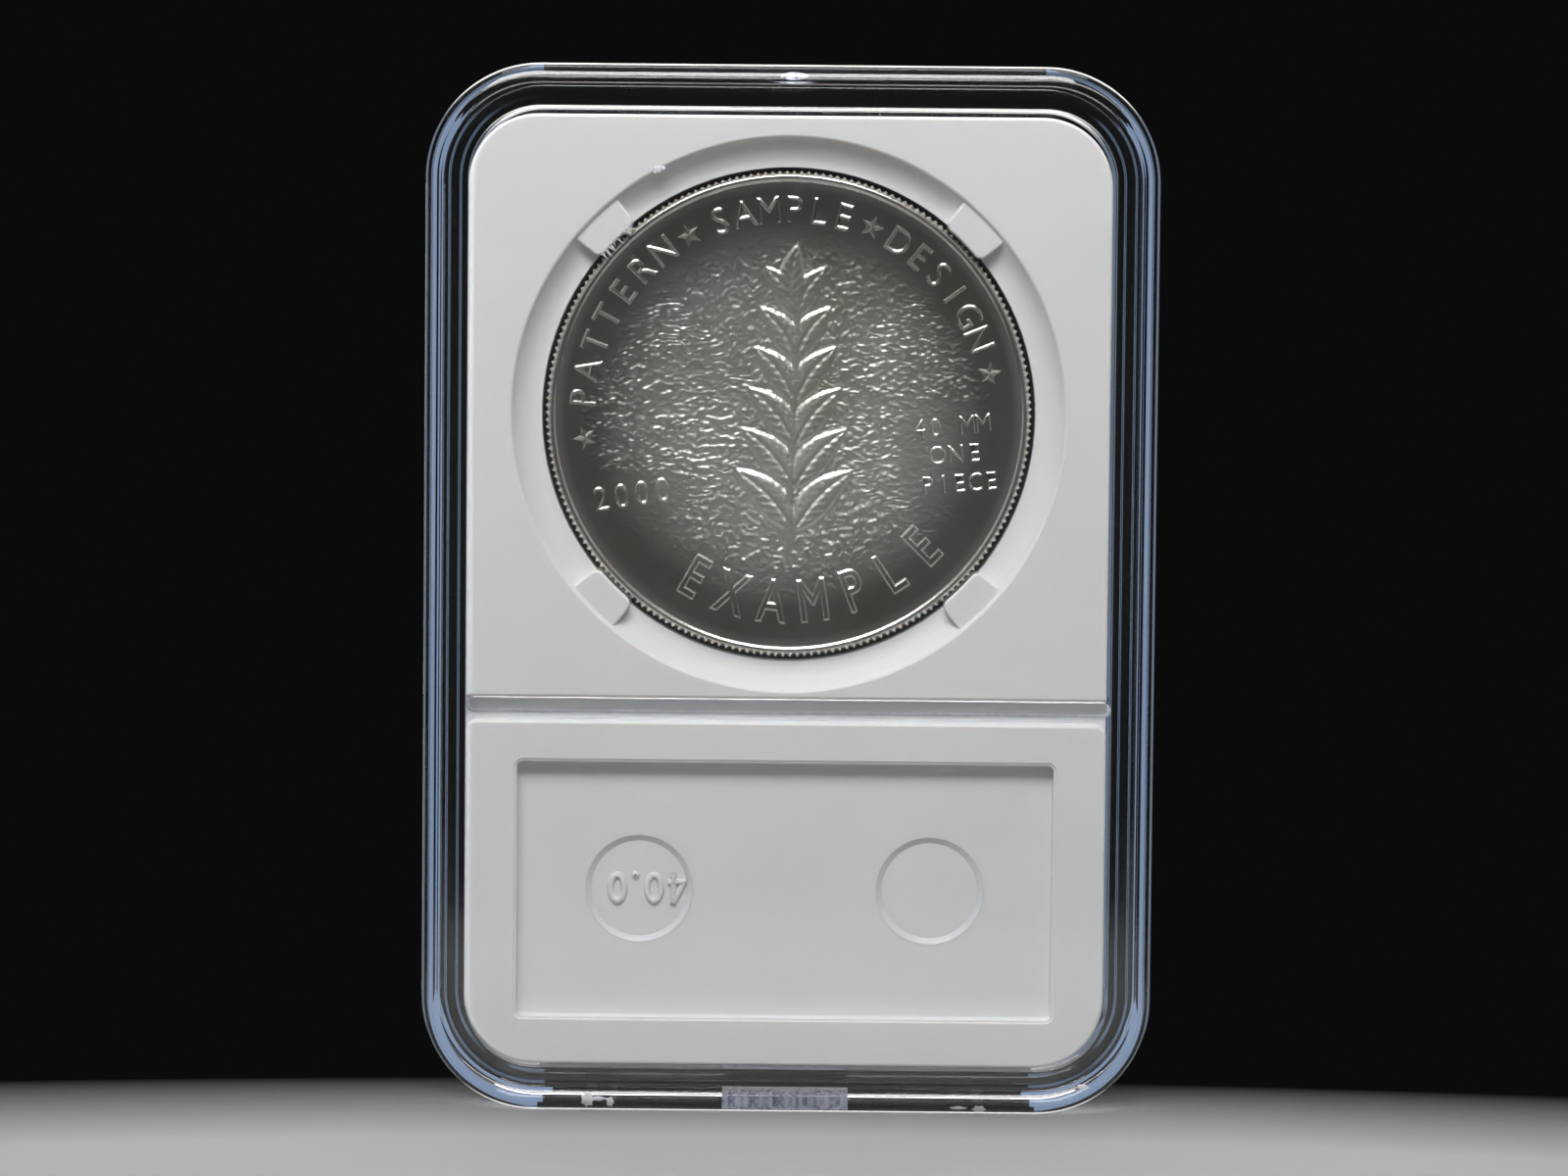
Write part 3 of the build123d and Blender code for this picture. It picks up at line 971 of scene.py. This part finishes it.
def make_floor():
    """Pale floor under and before the object: an oval pool that fades out into the dark studio. The pool is
    painted light: the floor turns transparent away from its middle, so it goes dark there by the material,
    not by the lamps.
    """
    n = Nodes("floor_pale")
    squeezed = n.add("ShaderNodeVectorMath", operation="MULTIPLY")
    n.link(n.place, squeezed.inputs[0])
    squeezed.inputs[1].default_value = (pool_squeeze, 1, 1)
    length = n.add("ShaderNodeVectorMath", operation="DISTANCE")
    n.link(squeezed.outputs["Vector"], length.inputs[0])
    length.inputs[1].default_value = pool_centre
    grain = n.bump(n.noise(900, 3.0), 0.00005, 0.2)
    cloth = n.principled(Base_Color=(0.38, 0.38, 0.375, 1), Roughness=0.8, Normal=grain)
    fade = n.add("ShaderNodeMixShader")
    n.link(n.ramp(length.outputs["Value"], 0, 1, *pool_fade), fade.inputs["Fac"])
    n.link(cloth, fade.inputs[1])
    n.link(n.add("ShaderNodeBsdfTransparent").outputs["BSDF"], fade.inputs[2])
    material = n.done(fade.outputs["Shader"])
    steps = 96
    turns = [2 * pi * k / steps for k in range(steps)]
    points = [(floor_radius * cos(turn), floor_radius * sin(turn), 0) for turn in turns]
    floor = new_object("floor", mesh_from("floor", points, [tuple(range(steps))]), [material])


def area_light(name, place, aim, width, height, power, colour=(1, 1, 1), spread=180):
    """Rectangular lamp that faces a point and that the camera doesn't see."""
    lamp = bpy.data.lights.new(name, "AREA")
    lamp.spread = radians(spread)
    lamp.shape = "RECTANGLE"
    lamp.size, lamp.size_y, lamp.energy, lamp.color = width, height, power, colour
    holder = bpy.data.objects.new(name, lamp)
    bpy.context.scene.collection.objects.link(holder)
    holder.location = place
    holder.visible_camera = False
    holder.rotation_euler = (Vector(aim) - Vector(place)).to_track_quat("-Z", "Y").to_euler()


def make_world():
    """Plain dark studio: dim all round, a low grey glow in front of the object and soft light overhead."""
    world = bpy.data.worlds.new("studio")
    world.use_nodes = True
    bpy.context.scene.world = world
    tree = world.node_tree
    split = tree.nodes.new("ShaderNodeSeparateXYZ")
    tree.links.new(tree.nodes.new("ShaderNodeTexCoord").outputs["Generated"], split.inputs[0])

    def ramp(source, stops):
        node = tree.nodes.new("ShaderNodeValToRGB")
        for position, _ in stops[2:]:
            node.color_ramp.elements.new(position)
        for element, (position, value) in zip(node.color_ramp.elements, stops):
            element.position = position
            element.color = (value, value, value * 1.03, 1)
        shifted = tree.nodes.new("ShaderNodeMapRange")
        shifted.inputs["From Min"].default_value = -1
        tree.links.new(source, shifted.inputs["Value"])
        tree.links.new(shifted.outputs["Result"], node.inputs["Fac"])
        return node.outputs["Color"]

    height = ramp(split.outputs["Z"], [(0.0, 0.0035), (0.55, 0.0035), (0.8, 0.04), (1.0, 0.2)])
    glow = ramp(split.outputs["Z"], [(0.40, 0.0), (0.47, 0.05), (0.50, 0.04), (0.53, 0.0)])
    front = ramp(split.outputs["Y"], [(0.0, 1.0), (0.3, 0.0)])
    lit = tree.nodes.new("ShaderNodeVectorMath")
    lit.operation = "MULTIPLY_ADD"
    tree.links.new(glow, lit.inputs[0])
    tree.links.new(front, lit.inputs[1])
    tree.links.new(height, lit.inputs[2])
    tree.links.new(lit.outputs["Vector"], tree.nodes["Background"].inputs["Color"])


def make_camera():
    """Long lens, a little above the middle of the slab, rolled half a degree. The view is view_width wide
    where the slab stands."""
    distance, elevation, azimuth, roll = 0.430, radians(3.43), radians(0.3), radians(0.53)
    view_width = 0.12945
    target = Vector((-0.00045, 0, middle_z * MM + 0.0001))
    back = Vector((sin(azimuth) * cos(elevation), -cos(azimuth) * cos(elevation), sin(elevation)))
    data = bpy.data.cameras.new("camera")
    data.sensor_width = 36.0
    data.lens = data.sensor_width * distance / view_width
    data.clip_start, data.clip_end = 0.01, 20
    camera = bpy.data.objects.new("camera", data)
    bpy.context.scene.collection.objects.link(camera)
    turn = (-back).to_track_quat("-Z", "Y").to_matrix().to_4x4() @ Matrix.Rotation(roll, 4, "Z")
    camera.matrix_world = Matrix.Translation(target + back * distance) @ turn
    bpy.context.scene.camera = camera


def make_lights():
    """Soft light above and before the object, a panel above and behind it, and at each side a weak card, a
    bluish window behind, and a narrow panel close behind the insert's edge that the clear rim bends towards
    the viewer."""
    area_light("key", (-0.03, -0.19, 0.29), (0, 0, 0.085), 0.24, 0.12, 0.44, spread=110)
    area_light("top_strip", (0.0, 0.10, 0.50), (0, 0, 0.08), 0.4, 0.1, 0.35)
    area_light("back_panel", (0.0, 0.45, 0.38), slab_middle, 0.6, 0.36, 1.2, (1.0, 0.96, 0.90))
    for side in (-1, 1):
        area_light("card", (0.45 * side, -0.36, 0.20), slab_middle, 0.25, 0.4, 0.15)
        area_light("window", (0.34 * side, 0.45, 0.10), slab_middle, 0.36, 0.5, 0.13, side_blue)
        area_light("rim_panel", (panel_x * side, panel_y, panel_z), (panel_x * side, 0, panel_z),
                   0.0055, 0.078, 0.00065, (0.5, 0.68, 1.0))


make_floor()
make_world()
make_camera()
make_lights()

scene = bpy.context.scene
scene.view_settings.view_transform = "Standard"
scene.cycles.use_denoising = True
scene.cycles.transparent_max_bounces = 24
scene.cycles.max_bounces = 14
scene.cycles.transmission_bounces = 14
